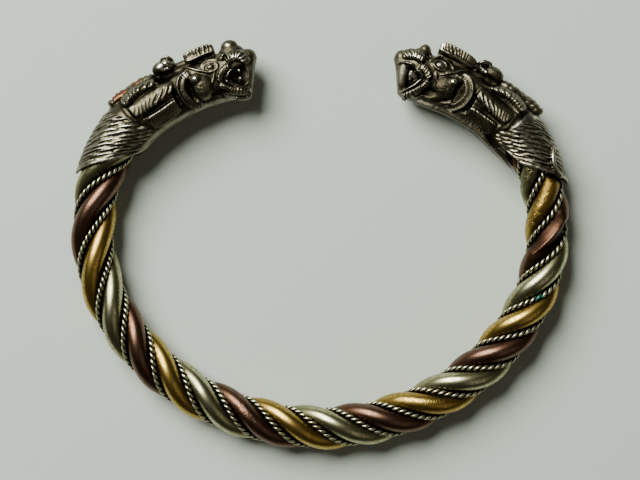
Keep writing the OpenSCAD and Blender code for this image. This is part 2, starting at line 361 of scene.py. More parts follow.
def rope(name, node, start):
    stops = np.arange(*strand_ends, rope_lay / rope_rings_in_lay / rope_slant)
    turns = -2 * pi / rope_rings_in_lay * np.arange(len(stops))
    angles = np.linspace(0, 2 * pi, rope_sides, endpoint=False)
    reach = np.array([two_wires(angle) for angle in angles])
    outline = np.stack((reach * np.cos(angles), reach * np.sin(angles), 0 * angles), 1)
    frames = [
        strand_frame(s, rope_from_middle, start) @ Matrix.Rotation(turn, 4, "Z")
        for s, turn in zip(stops, turns)]
    kept = {
        "crest": np.cos(turns[:, None] + angles[None, :]),
        "reach": np.repeat(reach[None, :], len(stops), 0) / (wire_from_middle + wire_thick)}
    piece = finished(name, tube(swept(frames, outline), kept))
    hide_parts(node)
    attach(piece, "root")
    return piece


ropes = [rope(f"twisted_wire_{i + 1}", f"rope_{i + 1}", -120 * i) for i in range(3)]
n = Nodes("blackened wire")
reach = n.stored("reach")
crest = n.stored("crest")
place = n.add("TexCoord").outputs["Object"]
patches = n.noise(place, 420.0)
rubbed = n.math("MULTIPLY", n.between(reach, 0.66, 1.0), n.between(crest, 0.0, 0.85))
rubbed = n.math("MULTIPLY", rubbed, n.between(patches, 0.25, 0.6, 0.6, 1.0))
to_spot = n.add("VectorMath", {0: place, 1: green_spot}, operation="DISTANCE").outputs["Value"]
green = n.math("MULTIPLY", n.between(to_spot, green_fades_at, green_full_at), n.between(patches, 0.35, 0.6))
silver = n.mix(rubbed, (0.010, 0.009, 0.005, 1), (0.63, 0.61, 0.39, 1))
n.give(
    Base_Color=n.mix(green, silver, (0.01, 0.16, 0.09, 1)),
    Metallic=1.0,
    Roughness=n.between(rubbed, 0.0, 1.0, 0.6, 0.24))
for piece in ropes:
    piece.data.materials.append(n.material)


# The two dragon heads, each one hollow casting of white metal. Distances are
# in mm from the pointed tip of the cap: u along the head, v outwards from the
# middle of the twist and w towards a flank. A head is made straight and then bent.
cap_rim = 8.8
rim_slant = 1.3
rim_hollow = 0.5
rim_furthest = 9.5
# The right cap is cut out over the back plate: from which share of the way round
# to the wrist side, over how much of it and how deep
cut_out_from = 0.68
cut_out_over = 0.14
cut_out_deep = 3.2
socket_deep = 11.4
socket_radius = 3.62
# The roots of the raised forms stay this far from the middle of the socket
in_neck_wall = 3.76
skin_u = [0, 3, 6, 9.6, 10.4, 11.5, 12.6, 15, 17.5, 19.5, 22.5, 25.5, 28, 30.2, 31.0, 31.25]
skin_out = [3.95, 4.15, 4.3, 4.35, 4.05, 4.0, 3.7, 3.65, 3.35, 2.8, 2.7, 3.1, 3.3, 2.8, 2.15, 1.5]
skin_in = [4.0, 4.1, 4.15, 4.2, 4.2, 4.2, 4.25, 4.3, 4.3, 4.35, 4.35, 4.4, 4.4, 4.2, 3.8, 3.1]
skin_half = [3.95, 4.05, 4.1, 4.15, 4.0, 3.97, 3.55, 3.3, 3.15, 2.95, 2.85, 2.8, 2.65, 2.3, 1.9, 1.4]
skin_square = 0.82
squared_u = [9, 13]
chin_from = 27
chin_back = 1.1
grain_mm = 0.1
most_triangles = 192000
# Whatever stands out further than the flanks of the neck has been worn down
worn_flat_from = 4.12


def skin(u, angle):
    """Point of the plain skin at an angle from the outside of the cuff."""
    c, s = cos(angle), sin(angle)
    reach = np.interp(u, skin_u, skin_out if c > 0 else skin_in)
    half = np.interp(u, skin_u, skin_half)
    square = np.interp(u, squared_u, [1.0, skin_square])
    c = abs(c) ** square * (1 if c > 0 else -1)
    s = abs(s) ** square * (1 if s > 0 else -1)
    return Vector((u, c * reach, s * half))


def skin_at_height(u, v, flank):
    """Point of the skin at a height, and the way it faces there."""
    reach = np.interp(u, skin_u, skin_out if v > 0 else skin_in)
    half = np.interp(u, skin_u, skin_half)
    power = 2 / np.interp(u, squared_u, [1.0, skin_square])
    q = min(0.985, abs(v) / reach)
    w = half * (1 - q ** power) ** (1 / power)
    facing = Vector((0, (1 if v > 0 else -1) * q ** (power - 1) / reach, (w / half) ** (power - 1) / half))
    facing.normalize()
    return Vector((u, v, flank * w)), Vector((0, facing.y, flank * facing.z))


def drawn_through(points, t):
    """Point of a smooth curve that passes through all the points, t from 0 to 1."""
    at = t * (len(points) - 1)
    i = min(int(at), len(points) - 2)
    f = at - i
    p = [np.array(points[min(max(i + k, 0), len(points) - 1)], float) for k in (-1, 0, 1, 2)]
    return 0.5 * (2 * p[1] + (p[2] - p[0]) * f + (2 * p[0] - 5 * p[1] + 4 * p[2] - p[3]) * f * f
                  + (3 * p[1] - p[0] - 3 * p[2] + p[3]) * f ** 3)


def rim(angle, side):
    """How far the slanted rim of the cap is from its tip. The right one is cut out over the back plate."""
    share = np.arccos(np.cos(angle)) / pi
    cut_out = np.clip((share - cut_out_from) / cut_out_over, 0, 1) * cut_out_deep * (side > 0)
    slanted = cap_rim * share ** rim_slant - rim_hollow * np.sin(pi * share) ** 2
    return np.minimum(rim_furthest, slanted + cut_out)


def in_socket(share, side):
    """Part of the way from the rim to the floor of the socket."""
    return lambda a: Vector((
        rim(a, side) + (socket_deep - rim(a, side)) * share,
        socket_radius * cos(a),
        socket_radius * sin(a)))


def on_neck(share, side):
    return lambda a: skin(rim(a, side) + (neck_end - rim(a, side)) * share, a)


def on_face(u):
    """A ring of the face. The chin stays behind the upper lip."""
    chin = np.interp(u, [chin_from, skin_u[-1]], [0, chin_back])
    return lambda a: skin(u, a) - Vector((chin * (1 - cos(a)) / 2, 0, 0))


def solid_object(bm):
    """The bmesh as an object for the steps below, which take it away again."""
    bmesh.ops.recalc_face_normals(bm, faces=bm.faces)
    mesh = bpy.data.meshes.new("head")
    bm.to_mesh(mesh)
    bm.free()
    return as_object(mesh)


def as_object(mesh):
    item = bpy.data.objects.new("head", mesh)
    bpy.context.scene.collection.objects.link(item)
    return item


def with_modifier(item, kind, **settings):
    """The item's mesh after one modifier. The item itself is taken away."""
    modifier = item.modifiers.new("step", kind)
    for key, value in settings.items():
        setattr(modifier, key, value)
    mesh = bpy.data.meshes.new_from_object(item.evaluated_get(bpy.context.evaluated_depsgraph_get()))
    bpy.data.objects.remove(item)
    return mesh


mouth_outline = [
    (26.4, -0.8), (27.2, 0.1), (28.5, 0.6), (29.4, 0.4),
    (29.65, -0.8), (29.5, -2.1), (28.8, -2.55), (27.6, -2.1)]
tongue_half = 0.7
past_flank = 5
casting_sides = 96


def casting_with_mouth(side):
    """The plain casting, with the mouth sunk into both flanks."""
    places = [in_socket(share, side) for share in (1, 0.75, 0.5, 0.25, 0)]
    places += [on_neck(share, side) for share in np.linspace(0, 1, 9)]
    places += [on_face(u) for u in face_rings]
    angles = np.linspace(0, 2 * pi, casting_sides, endpoint=False)
    casting = solid_object(tube(np.array([[place(a) for a in angles] for place in places]), {}))
    bm = bmesh.new()
    for flank in (-1, 1):
        outline = bm.faces.new([bm.verts.new((u, v, flank * tongue_half)) for u, v in mouth_outline])
        made = bmesh.ops.extrude_face_region(bm, geom=[outline])["geom"]
        verts = [item for item in made if isinstance(item, bmesh.types.BMVert)]
        bmesh.ops.translate(bm, verts=verts, vec=(0, 0, flank * past_flank))
    cutter = solid_object(bm)
    mesh = with_modifier(casting, "BOOLEAN", object=cutter, operation="DIFFERENCE", solver="MANIFOLD")
    bpy.data.objects.remove(cutter)
    return mesh


def on_flank(u, v):
    return skin_at_height(u, v, 1)


def on_back(u, w):
    """Point of the back of the head at a distance from its middle plane."""
    reach = np.interp(u, skin_u, skin_out)
    half = np.interp(u, skin_u, skin_half)
    q = min(0.9, abs(w) / half)
    facing = Vector((0, sqrt(1 - q * q) / reach, w / half / half)).normalized()
    return Vector((u, reach * sqrt(1 - q * q), w)), facing


crest_from_middle = 1.55
crest_lean = 0.12


def on_crest(u, v):
    """Upright leaf beside the middle plane, which faces the flank."""
    return Vector((u, v, crest_from_middle - crest_lean * (v - 3))), Vector((0, 0.25, 1)).normalized()


# Across a raised form, from its right-hand edge to its left-hand edge as it runs:
# how high it is, and how deep the grooves between its ribs are
across_at = [-1, -0.6, -0.2, 0.2, 0.6, 1]
lock = [0.85, 1.0, 0.92, 0.75, 0.55, 0.3], [1.0, 1.0, 0.75, 0.3, 0.05, 0.0]
collar = [0.8, 1.0, 0.72, 0.76, 0.8, 0.6], [0.0, 0.0, 1.0, 1.0, 1.0, 0.7]
lip = [0.7, 0.95, 1.0, 1.0, 0.95, 0.7], [0.5, 1.0, 1.0, 1.0, 0.8, 0.2]
plume = [1.0, 0.95, 0.8, 0.85, 0.9, 0.9], [0.0, 0.1, 1.0, 1.0, 1.0, 1.0]
hollow = [0.85, 0.75, 0.62, 0.65, 0.85, 1.0], [0.0, 1.0, 1.0, 1.0, 0.6, 0.0]
ridge = [0.5, 0.85, 1.0, 1.0, 0.85, 0.5], [0.0] * 6
# A raised form is narrower and lower at its ends, its edge is sunk in the
# casting, and its root reaches further in
end_breadth = 0.35
end_height = 0.4
edge_sunk = 0.2
root_v = 0.7
root_w = 0.55
# Its heading is taken between this far before and this far behind a point, as a
# share of its length
step_ahead = 0.02


def leaf(bm, placed, points, half_breadth, height, section, ribs=0, rib_depth=0.5, slant=0.0, taper=0.0):
    """A raised form along a curve, with ribs across it like a lock of hair."""
    sheet = bmesh.new()
    bmesh.ops.create_grid(sheet, x_segments=max(24, 12 * ribs), y_segments=16, size=1)
    for vert in sheet.verts:
        t = (vert.co.x + 1) / 2
        q = vert.co.y
        ahead = drawn_through(points, min(1, t + step_ahead))
        ahead -= drawn_through(points, max(0, t - step_ahead))
        ahead /= np.hypot(*ahead)
        full = sqrt(max(0.0, 1 - abs(2 * t - 1) ** 4)) * (1 - taper * t)
        # The ribs are cut by hand: no two are quite the same
        uneven = 0.16 * sin(9.7 * t + 2.1 * q + 3 * height) + 0.08 * sin(23 * t - 1.3 * q)
        rib = abs(cos(pi * (ribs * t - slant * q + uneven))) ** 0.7 if ribs else 1.0
        groove = (1 - rib) * np.interp(q, across_at, section[1])
        spread = half_breadth * (end_breadth + (1 - end_breadth) * full) * q * (1 - 0.14 * groove * abs(q))
        place, facing = placed(*(drawn_through(points, t) + np.array([-ahead[1], ahead[0]]) * spread))
        edge = (1 - q ** 10) ** 0.5
        rise = height * (end_height + (1 - end_height) * full) * edge
        rise *= np.interp(q, across_at, section[0])
        rise *= 1 - rib_depth * groove
        vert.co = place + facing * (rise - edge_sunk - edge_sunk * (1 - edge))
    made = bmesh.ops.extrude_face_region(sheet, geom=sheet.faces[:])["geom"]
    for item in made:
        if isinstance(item, bmesh.types.BMVert):
            item.co.y *= root_v
            item.co.z *= root_w
            from_axis = sqrt(item.co.y ** 2 + item.co.z ** 2)
            if item.co.x < socket_deep + 0.2 and from_axis < in_neck_wall:
                item.co.y *= in_neck_wall / from_axis
                item.co.z *= in_neck_wall / from_axis
    joined_to(bm, sheet)


def joined_to(bm, form):
    mesh = bpy.data.meshes.new("form")
    form.to_mesh(mesh)
    form.free()
    bm.from_mesh(mesh)
    bpy.data.meshes.remove(mesh)


def ball(bm, place, size, turn=0.0):
    """A knob, with its three radii, turned in the plane of the flank."""
    matrix = Matrix.Translation(place) @ Matrix.Rotation(turn, 4, "Z") @ Matrix.Diagonal((*size, 1))
    bmesh.ops.create_icosphere(bm, subdivisions=4, radius=1, matrix=matrix)


def ring(bm, u, v, radius, thick, stretch, turn):
    """An almond-shaped ring that lies on the flank."""
    place, facing = on_flank(u, v)
    circle = bmesh.ops.create_circle(bm, segments=12, radius=thick)["verts"]
    bmesh.ops.rotate(bm, verts=circle, matrix=Matrix.Rotation(pi / 2, 3, "X"))
    bmesh.ops.translate(bm, verts=circle, vec=(radius, 0, 0))
    edges = list({edge for vert in circle for edge in vert.link_edges})
    before = set(bm.verts) - set(circle)
    bmesh.ops.spin(
        bm, geom=circle + edges, cent=(0, 0, 0), axis=(0, 0, 1), angle=2 * pi, steps=40, use_merge=True)
    verts = [vert for vert in bm.verts if vert not in before]
    aim = facing.to_track_quat("Z", "Y").to_matrix().to_4x4()
    matrix = (
        Matrix.Translation(place) @ aim @ Matrix.Rotation(turn, 4, "Z")
        @ Matrix.Diagonal((stretch, 1, 1, 1)))
    bmesh.ops.transform(bm, matrix=matrix, verts=verts)


def arc(u, v, radius, start, stop):
    angles = [radians(a) for a in np.linspace(start, stop, 7)]
    return [(u + radius * cos(a), v + radius * sin(a)) for a in angles]


neck_end = 9.8
face_rings = [
    10.3, 10.9, 11.7, 12.5, 14, 15.5, 17.5, 19.5, 21, 22.5, 24, 25.5, 27, 28, 29, 30.2, 30.7, 31.0, 31.25]

# Points, half breadth, height, section, ribs, rib depth, slant and taper, for
# both heads and then for the left (-1) and the right (1) head alone
flank_leaves = [
    (arc(21.6, -1.0, 2.5, 98, 262), 0.82, 0.85, collar, 21, 0.3),
    ([(20.6, 2.6), (21.3, 2.2), (22.4, 1.4), (24.1, 0.4)], 0.17, 0.55, ridge),
]
own_flank_leaves = {
    -1: [
        ([(11.0, 2.55), (12.4, 3.05), (14.4, 3.0), (16.9, 2.35)], 0.95, 1.25, lock, 9, 0.6, 0.6, 0.3),
        ([(11.1, 1.0), (13.0, 0.75), (15.0, 0.65), (18.4, 0.9)], 1.35, 1.25, lock, 9, 0.5, 1.3, 0.25),
        ([(12.2, -1.9), (13.6, -2.25), (15.6, -2.3), (18.1, -2.0)], 1.15, 0.85, hollow, 12, 0.28, 1.6),
        ([(23.0, 1.5), (23.6, 2.1), (24.6, 2.3), (25.8, 1.8)], 0.25, 0.45, ridge),
        ([(24.9, 0.6), (24.3, -0.7), (23.5, -1.9), (24.9, -3.1), (27.0, -3.9)], 0.2, 0.45, ridge),
        ([(27.2, 0.75), (26.4, 0.4), (25.6, -0.35), (25.15, -1.5)], 0.52, 0.95, lip, 9, 0.36, 0.4),
        ([(25.0, -1.5), (25.8, -2.3), (27.2, -3.0), (29.5, -3.45)], 0.6, 0.95, lip, 14, 0.36, 0.5),
        ([(27.6, 0.15), (26.9, -0.2), (26.2, -1.1)], 0.15, 0.7, ridge),
        ([(26.1, -1.2), (26.8, -1.85), (28.0, -2.5), (29.6, -2.9)], 0.15, 0.7, ridge),
        ([(26.9, 1.35), (27.9, 1.95), (29.0, 1.75), (29.9, 0.7)], 0.78, 1.05, lip, 8, 0.5, 0.5),
        ([(26.1, 1.9), (26.8, 2.6), (28.3, 2.95), (29.7, 2.4)], 0.25, 0.45, ridge),
        ([(27.0, -4.0), (28.4, -4.15), (29.6, -3.9), (29.9, -3.2)], 0.22, 0.75, ridge)],
    1: [
        ([(11.3, 2.5), (12.8, 2.85), (14.6, 2.75), (16.9, 2.1)], 0.95, 1.25, lock, 9, 0.6, 0.6, 0.3),
        ([(11.8, 0.1), (13.2, 0.05), (15.2, 0.0), (18.2, 0.45)], 1.25, 1.2, lock, 9, 0.5, 1.3, 0.25),
        ([(12.4, -2.5), (13.8, -2.8), (15.8, -2.9), (18.2, -2.8)], 1.2, 0.9, hollow, 10, 0.35, 1.6),
        ([(22.4, 1.3), (21.0, 0.9), (20.35, -0.4), (20.5, -1.9), (21.4, -3.0), (23.2, -3.5)],
         0.15, 0.5, ridge),
        ([(22.5, 1.75), (23.3, 2.6), (24.5, 3.1), (25.8, 2.5)], 0.2, 0.45, ridge),
        ([(22.5, 1.7), (23.4, 1.2), (24.8, 1.1), (25.8, 1.8)], 0.2, 0.5, ridge),
        ([(24.9, 0.6), (24.5, -0.4), (23.9, -1.3), (25.2, -2.9), (27.3, -3.9)], 0.2, 0.45, ridge),
        ([(27.4, 0.75), (26.4, 0.4), (25.5, -0.75)], 0.62, 1.1, lip, 7, 0.5, 0.3),
        ([(25.4, -0.95), (26.2, -2.0), (27.4, -3.0), (29.2, -3.9)], 0.62, 1.1, lip, 11, 0.5, 0.5),
        ([(27.9, 0.2), (27.1, -0.1), (26.6, -0.7)], 0.15, 0.85, ridge),
        ([(26.6, -0.8), (27.4, -1.75), (28.5, -2.6), (30.1, -3.5)], 0.16, 0.85, ridge),
        ([(27.0, 1.55), (27.8, 2.15), (28.9, 2.25), (30.1, 1.95)], 0.72, 1.05, lip, 8, 0.5, 0.7),
        ([(26.0, 2.0), (26.6, 2.6), (28.0, 3.05), (29.6, 2.9)], 0.22, 0.45, ridge),
        ([(28.2, 0.75), (29.4, 0.95), (30.7, 0.85)], 0.14, 0.75, ridge),
        ([(29.6, 0.7), (29.75, -1.0), (29.5, -3.0)], 0.75, 0.5, ridge),
        ([(12.2, -3.55), (18.0, -3.75), (22.0, -3.75), (26.5, -3.9)], 0.6, 0.5, ridge),
        ([(1.0, 2.75), (2.4, 2.2), (4.0, 2.4), (5.4, 3.4)], 0.32, 0.8, ridge)]}
own_back_leaves = {
    -1: [([(9.7, 0), (13.0, 0), (16.9, 0)], 2.1, 1.4, lip, 10, 0.4, 0.4, 0.3)],
    1: [([(9.5, 0), (12.5, 0), (16.3, 0)], 2.1, 1.6, lip, 9, 0.4, 0.6, 0.35)]}
crown = ([(18.6, 0), (21.6, 0), (24.9, 0)], 1.15, 1.3, ridge)
own_crest_leaves = {
    -1: [
        ([(17.3, 4.3), (17.8, 3.5), (18.8, 3.25), (19.8, 4.0)], 0.42, 1.1, lip, 9, 0.45),
        ([(18.4, 5.0), (19.3, 4.95), (19.8, 4.3)], 0.35, 1.15, ridge),
        ([(21.3, 3.7), (22.8, 3.8), (25.5, 4.0)], 1.0, 0.8, plume, 11, 0.55, 0.1)],
    1: [
        ([(16.6, 4.9), (17.3, 4.0), (18.4, 3.5), (19.6, 3.9)], 0.38, 1.25, lip, 9, 0.45),
        ([(18.2, 5.05), (19.2, 4.9), (19.8, 4.2)], 0.38, 1.2, ridge),
        ([(20.2, 3.8), (22.4, 4.3), (25.3, 4.65)], 1.0, 0.85, plume, 14, 0.45, 0.9)]}
ears = {
    -1: (((18.0, 4.1, 1.2), (1.25, 1.0, 1.25)), ((18.85, 4.25, 1.3), (0.8, 0.8, 1.3))),
    1: (((17.4, 4.05, 1.2), (1.4, 1.2, 1.35)),)}
noses = {
    -1: (((27.6, 3.5, 0.7), (1.2, 1.2, 1.15)), ((27.7, 2.9, 0.7), (1.75, 1.0, 1.3))),
    1: (((27.1, 3.3, 0.6), (0.85, 1.15, 1.0)), ((27.3, 2.9, 0.6), (1.35, 0.9, 1.2)))}
# Place, radius, thickness and stretch of the ring round each eye
eyes = {-1: (24.4, 1.2, 0.72, 0.14, 1.45), 1: (24.55, 1.85, 0.8, 0.14, 1.1)}
eye_turn = -0.1
eye_sunk = 0.15
eyeball = (0.62, 0.5, 0.42)
# Snout, upper lip and tongue of both heads: place, size and turn
snout_knobs = (
    ((28.8, 2.0, 0.7), (1.9, 1.15, 1.5), -0.35),
    ((29.9, 1.75, 0.6), (1.25, 1.25, 1.3), -0.2),
    ((27.2, -0.9, 0.8), (1.3, 0.6, 0.6), -0.5))
# Two round teeth on each side of the mouth, on stems: v, w and size of each
teeth_u = 28.4
teeth = ((-1.4, 1.75, 0.38), (-0.2, 1.7, 0.3))
tooth_half_height = 0.34
tooth_stem = (0.27, 0.27, 0.85)
stem_out = 1.0
# What fills more of the right head's mouth
right_tongue = ((28.3, -0.6, 1.15), (1.2, 1.0, 0.8))
# Each cheek is two or three knobs: place, how far it is sunk, size and turn
cheeks = {
    -1: ((22.35, -1.3, 0.85, (1.95, 2.1, 1.75), 0), (21.75, 0.1, 0.0, (0.95, 0.9, 1.0), 0)),
    1: (
        (22.7, -1.1, 1.05, (2.3, 2.0, 1.8), -0.5), (23.4, -2.6, 0.7, (2.7, 1.2, 1.1), -0.35),
        (21.95, 0.0, 0.05, (0.8, 0.75, 0.9), 0))}
# Hollows between the forms: place, reach both ways and depth
hollows = {
    -1: [
        (10.85, 1.2, 0.4, 2.7, 0.18), (11.5, -1.5, 0.4, 1.2, 0.15), (17.9, 2.7, 1.2, 0.8, 0.8),
        (20.0, 2.7, 0.8, 0.9, 0.4), (23.1, 3.0, 2.3, 0.5, 0.8), (18.1, -1.4, 0.4, 1.6, 0.5),
        (20.5, -1.2, 0.4, 1.7, 0.45), (25.0, -2.9, 1.5, 0.5, 0.4), (26.6, 2.1, 0.6, 0.4, 0.35),
        (14.9, -0.85, 2.8, 0.3, 0.35), (14.0, 2.05, 2.6, 0.2, 0.25)],
    1: [
        (10.95, 1.0, 0.4, 2.5, 0.18), (11.6, -1.7, 0.4, 1.5, 0.15), (17.6, 2.9, 1.1, 0.6, 0.7),
        (19.6, 2.9, 1.0, 0.5, 0.5), (23.0, 3.5, 2.3, 0.45, 0.7), (18.1, -1.2, 0.35, 1.8, 0.45),
        (20.75, -1.0, 0.4, 1.9, 0.45), (25.0, -2.6, 1.2, 0.7, 0.45), (26.5, 2.6, 0.5, 0.5, 0.4),
        (14.9, 1.6, 2.7, 0.25, 0.2), (14.8, -1.45, 2.7, 0.3, 0.15)]}
# They spare what stands out further than this, and the back and the wrist side:
# how far from the skin and from the middle plane, and over what length they fade
hollow_below = 0.9
hollow_below_fade = 0.6
hollow_off_middle = 1.0
hollow_middle_fade = 0.5
# The right head's back plate, on the wrist side, starts as a tongue under the
# twist: distance, height of its inner face, half width and thickness
plate_u = [5.0, 6, 9, 10.8, 12.5, 24, 26.5]
plate_in = [3.5, 3.7, 4.2, 4.4, 4.1, 4.1, 4.1]
plate_half = [0.5, 1.7, 2.3, 2.4, 2.6, 2.3, 1.8]
plate_thick = [0.15, 0.3, 0.32, 0.32, 0.65, 0.65, 0.55]


def back_plate(bm):
    sheet = bmesh.new()
    bmesh.ops.create_grid(sheet, x_segments=90, y_segments=10, size=1)
    for vert in sheet.verts:
        u = plate_u[0] + (plate_u[-1] - plate_u[0]) * (vert.co.x + 1) / 2
        vert.co = (u, -np.interp(u, plate_u, plate_in), np.interp(u, plate_u, plate_half) * vert.co.y)
    made = bmesh.ops.extrude_face_region(sheet, geom=sheet.faces[:])["geom"]
    for item in made:
        if isinstance(item, bmesh.types.BMVert):
            item.co.y -= np.interp(item.co.x, plate_u, plate_thick)
    joined_to(bm, sheet)


def head_forms(side):
    """Everything that stands up from one flank, as closed forms that reach into the casting."""
    bm = bmesh.new()
    for placed, rows in (
            (on_flank, flank_leaves + own_flank_leaves[side]),
            (on_back, own_back_leaves[side] + [crown]),
            (on_crest, own_crest_leaves[side])):
        for row in rows:
            leaf(bm, placed, *row)
    for knob in ears[side] + noses[side]:
        ball(bm, *knob)
    for u, v, sunk, size, turn in cheeks[side]:
        cheek, facing = on_flank(u, v)
        ball(bm, cheek - facing * sunk, size, turn)
    ring(bm, *eyes[side], eye_turn)
    eye, facing = on_flank(*eyes[side][:2])
    ball(bm, eye - facing * eye_sunk, eyeball, eye_turn)
    for knob in snout_knobs:
        ball(bm, *knob)
    for v, w, size in teeth:
        ball(bm, (teeth_u, v, w), (size, tooth_half_height, size))
        ball(bm, (teeth_u, v, stem_out), tooth_stem)
    if side > 0:
        ball(bm, *right_tongue)
    return bm


def main_part(mesh):
    """Takes away the crumbs that remeshing leaves at thin edges: all that isn't joined to the snout."""
    bm = bmesh.new()
    bm.from_mesh(mesh)
    ahead = [max(bm.verts, key=lambda vert: vert.co.x)]
    joined = set(ahead)
    while ahead:
        here = ahead.pop()
        for edge in here.link_edges:
            other = edge.other_vert(here)
            if other not in joined:
                joined.add(other)
                ahead.append(other)
    bmesh.ops.delete(bm, geom=[vert for vert in bm.verts if vert not in joined], context="VERTS")
    bm.to_mesh(mesh)
    bm.free()


def neighbour_mean(co, edges):
    """For each point the mean of the points that it has an edge to."""
    count = np.bincount(edges.ravel(), minlength=len(co))[:, None]
    both = np.concatenate((edges, edges[:, ::-1]))
    total = np.stack([np.bincount(both[:, 0], co[both[:, 1], axis], len(co)) for axis in range(3)], 1)
    return total / count


def eased(co, edges, rounds):
    for _ in range(rounds):
        co = co + 0.5 * (neighbour_mean(co, edges) - co)
    return co


def read(items, of, width, kind=np.float64):
    values = np.zeros(len(items) * width, kind)
    items.foreach_get(of, values)
    return values.reshape(-1, width)


# Strands of hair on the neck: breadth and length (mm) of the main ones and of
# the loose ones that cross them, how deep the lines between them are, and the
# breadth and depth of the bundles that they lie in
main_strand = 0.56, 3.9
loose_strand = 0.7, 3.1
strand_deep = 0.3
bundle_broad = 1.95
bundle_deep = 0.1
# Where the hair ends at the mane, at each height
mane_v = [-3.2, -2.2, -1.2, 0, 2, 4]
mane_starts_u = [11.9, 11.8, 11.2, 10.4, 9.9, 9.6]
mane_fade = 0.35
# The radius at which distances round the neck are measured (mm)
neck_radius = 4.2


def tress(across, along, breadth, length):
    """Height (0 to 1) of pointed strands that lie side by side, each with its own start."""
    start = np.modf(np.abs(np.sin(np.floor(across / breadth) * 12.99)) * 437.6)[0]
    full = np.abs(np.sin(pi * (along / length + start))) ** 0.6
    return np.abs(np.sin(pi * across / breadth)) ** 1.1 * (0.15 + 0.85 * full)


def hair(u, v, w, wander, side):
    """How deep the engraver's lines between the strands of hair are, and where the hair is."""
    girth = neck_radius * np.arctan2(v, np.abs(w) + 0.3)
    across = 0.87 * u - 0.0125 * u * u + (0.515 + 0.0275 * u) * girth + 0.2 * wander
    locks = tress(across + 0.2 * np.sin(1.3 * across + 0.7), 0.69 * u - 0.72 * girth, *main_strand)
    loose = tress(0.86 * u + 0.51 * girth + 0.25 * wander, 0.51 * u - 0.86 * girth, *loose_strand)
    bundle = (np.abs(np.sin(pi * across / bundle_broad)) ** 0.5 - 1) * bundle_deep
    strands = (np.maximum(locks, 0.85 * loose) - 1) * strand_deep
    rim_u = rim(np.arccos(v / np.sqrt(v * v + w * w + 1e-9)), side)
    mane_u = np.interp(v, mane_v, mane_starts_u)
    before_mane = np.clip((mane_u - u) / mane_fade, 0, 1)
    mask = np.clip((u - rim_u - 0.45) / 0.3, 0, 1) * before_mane
    mask *= np.clip((v + 3.5) / 0.6, 0, 1) * np.clip((0.3 - over_skin(u, v, w)) / 0.15, 0, 1)
    outside = np.clip((np.sqrt(v * v + w * w) - socket_radius - 0.1) / 0.2, 0, 1)
    return (bundle + strands) * mask * outside, before_mane * outside


def over_skin(u, v, w):
    """How far points stand out from the plain skin of the head (mm)."""
    reach = np.where(v > 0, np.interp(u, skin_u, skin_out), np.interp(u, skin_u, skin_in))
    half = np.interp(u, skin_u, skin_half)
    power = 2 / np.interp(u, squared_u, [1.0, skin_square])
    return ((np.abs(v) / reach) ** power + (np.abs(w) / half) ** power) ** (1 / power) * half - half


# Roughness of the casting (mm) all over and on the jowl below each cheek, the
# depth of the jowl's pits, and the jowl's place and reach both ways
casting_rough = 0.035
jowl_rough = 0.05
jowl_pitted = 0.11
jowl_u, jowl_v = 22.8, -1.7
jowl_reach_u, jowl_reach_v = 1.8, 1.4
# Of what stands out too far, this share has been worn off
worn_share = 0.7
# How far the surface is smoothed to tell what is raised above it
smoothing_rounds = 16
# The left mane's topmost lock is worn down to copper: from and to along it
copper_u = [10.3, 11, 14.6, 15.4]
copper_above_v = [3.7, 4.2]


# Painted light on the heads, with some real dark toning: places painted darker
# and rougher (1), as toning and as painted shade that dims highlights, and places
# painted bright (-1) as painted highlights and glints on knobs, teeth, ribs and
# hair: place, reach both ways and how much
painted_light_and_toning_spots = {
    -1: [
        (19.2, -1.2, 1.2, 2.8, 0.8), (24.4, -2.9, 1.2, 0.7, 1.0), (15.0, -2.4, 3.0, 0.7, 0.4),
        (8.0, -1.9, 3.4, 1.6, 0.45), (3.4, 2.7, 2.2, 1.3, 0.35), (14.6, 0.35, 3.6, 0.5, 0.55),
        (20.5, 3.1, 0.75, 0.75, 0.9), (20.45, -2.4, 0.45, 0.6, 0.9), (22.5, -1.2, 1.4, 1.5, 0.7),
        (17.1, 4.1, 0.75, 0.9, 0.95), (18.6, 4.2, 0.95, 0.85, -1.0), (24.95, -1.45, 0.5, 0.5, 0.8),
        (27.6, 3.5, 1.5, 1.2, 0.8), (27.5, 3.95, 0.34, 0.26, -1.0), (21.7, 0.15, 0.42, 0.38, -1.0),
        (28.4, -1.4, 0.4, 0.34, -1.0), (28.4, -0.2, 0.3, 0.3, -0.9), (28.4, 1.7, 1.0, 0.7, -0.85),
        (20.2, 1.6, 0.9, 0.45, -0.7), (25.4, 0.0, 0.5, 1.0, 0.5)],
    1: [
        (19.5, -0.8, 1.2, 3.2, 0.8), (17.4, 3.4, 1.4, 1.4, 1.0), (15.2, -2.7, 3.2, 0.8, 0.2),
        (21.0, 4.4, 1.0, 0.9, 0.8), (23.4, -1.2, 2.2, 1.7, 0.9), (24.0, -3.0, 3.0, 0.9, 0.5),
        (19.0, -4.5, 12.0, 0.75, 0.85), (24.4, -2.9, 1.5, 0.65, 0.9), (21.95, 0.2, 0.4, 0.36, -1.0),
        (18.8, 3.6, 0.5, 0.3, -1.0), (18.9, 4.75, 0.7, 0.3, -0.8), (24.6, 1.85, 0.8, 0.65, -0.35),
        (28.5, 2.2, 1.1, 0.55, -0.8), (25.0, 4.6, 0.4, 0.7, -0.8), (17.2, 4.5, 0.5, 0.35, -0.7),
        (27.0, 3.6, 0.5, 0.5, 0.5), (28.3, -0.5, 1.1, 0.9, -0.5), (7.0, 0.6, 2.4, 1.2, -0.5),
        (10.1, 1.2, 1.0, 1.7, -0.6), (9.4, 3.3, 1.3, 0.5, -0.8), (2.6, 0.6, 0.5, 0.6, -0.6)]}


def toned(co, spots):
    """Painted shade with dark toning (up to 1) and painted highlights (down to -1) from all the spots
    together.
    """
    tone = np.zeros(len(co))
    for u, v, reach_u, reach_v, amount in spots:
        near = np.exp(-(((co[:, 0] - u) / reach_u) ** 2 + ((co[:, 1] - v) / reach_v) ** 2) ** 2)
        tone = tone + (amount - tone) * near
    return tone


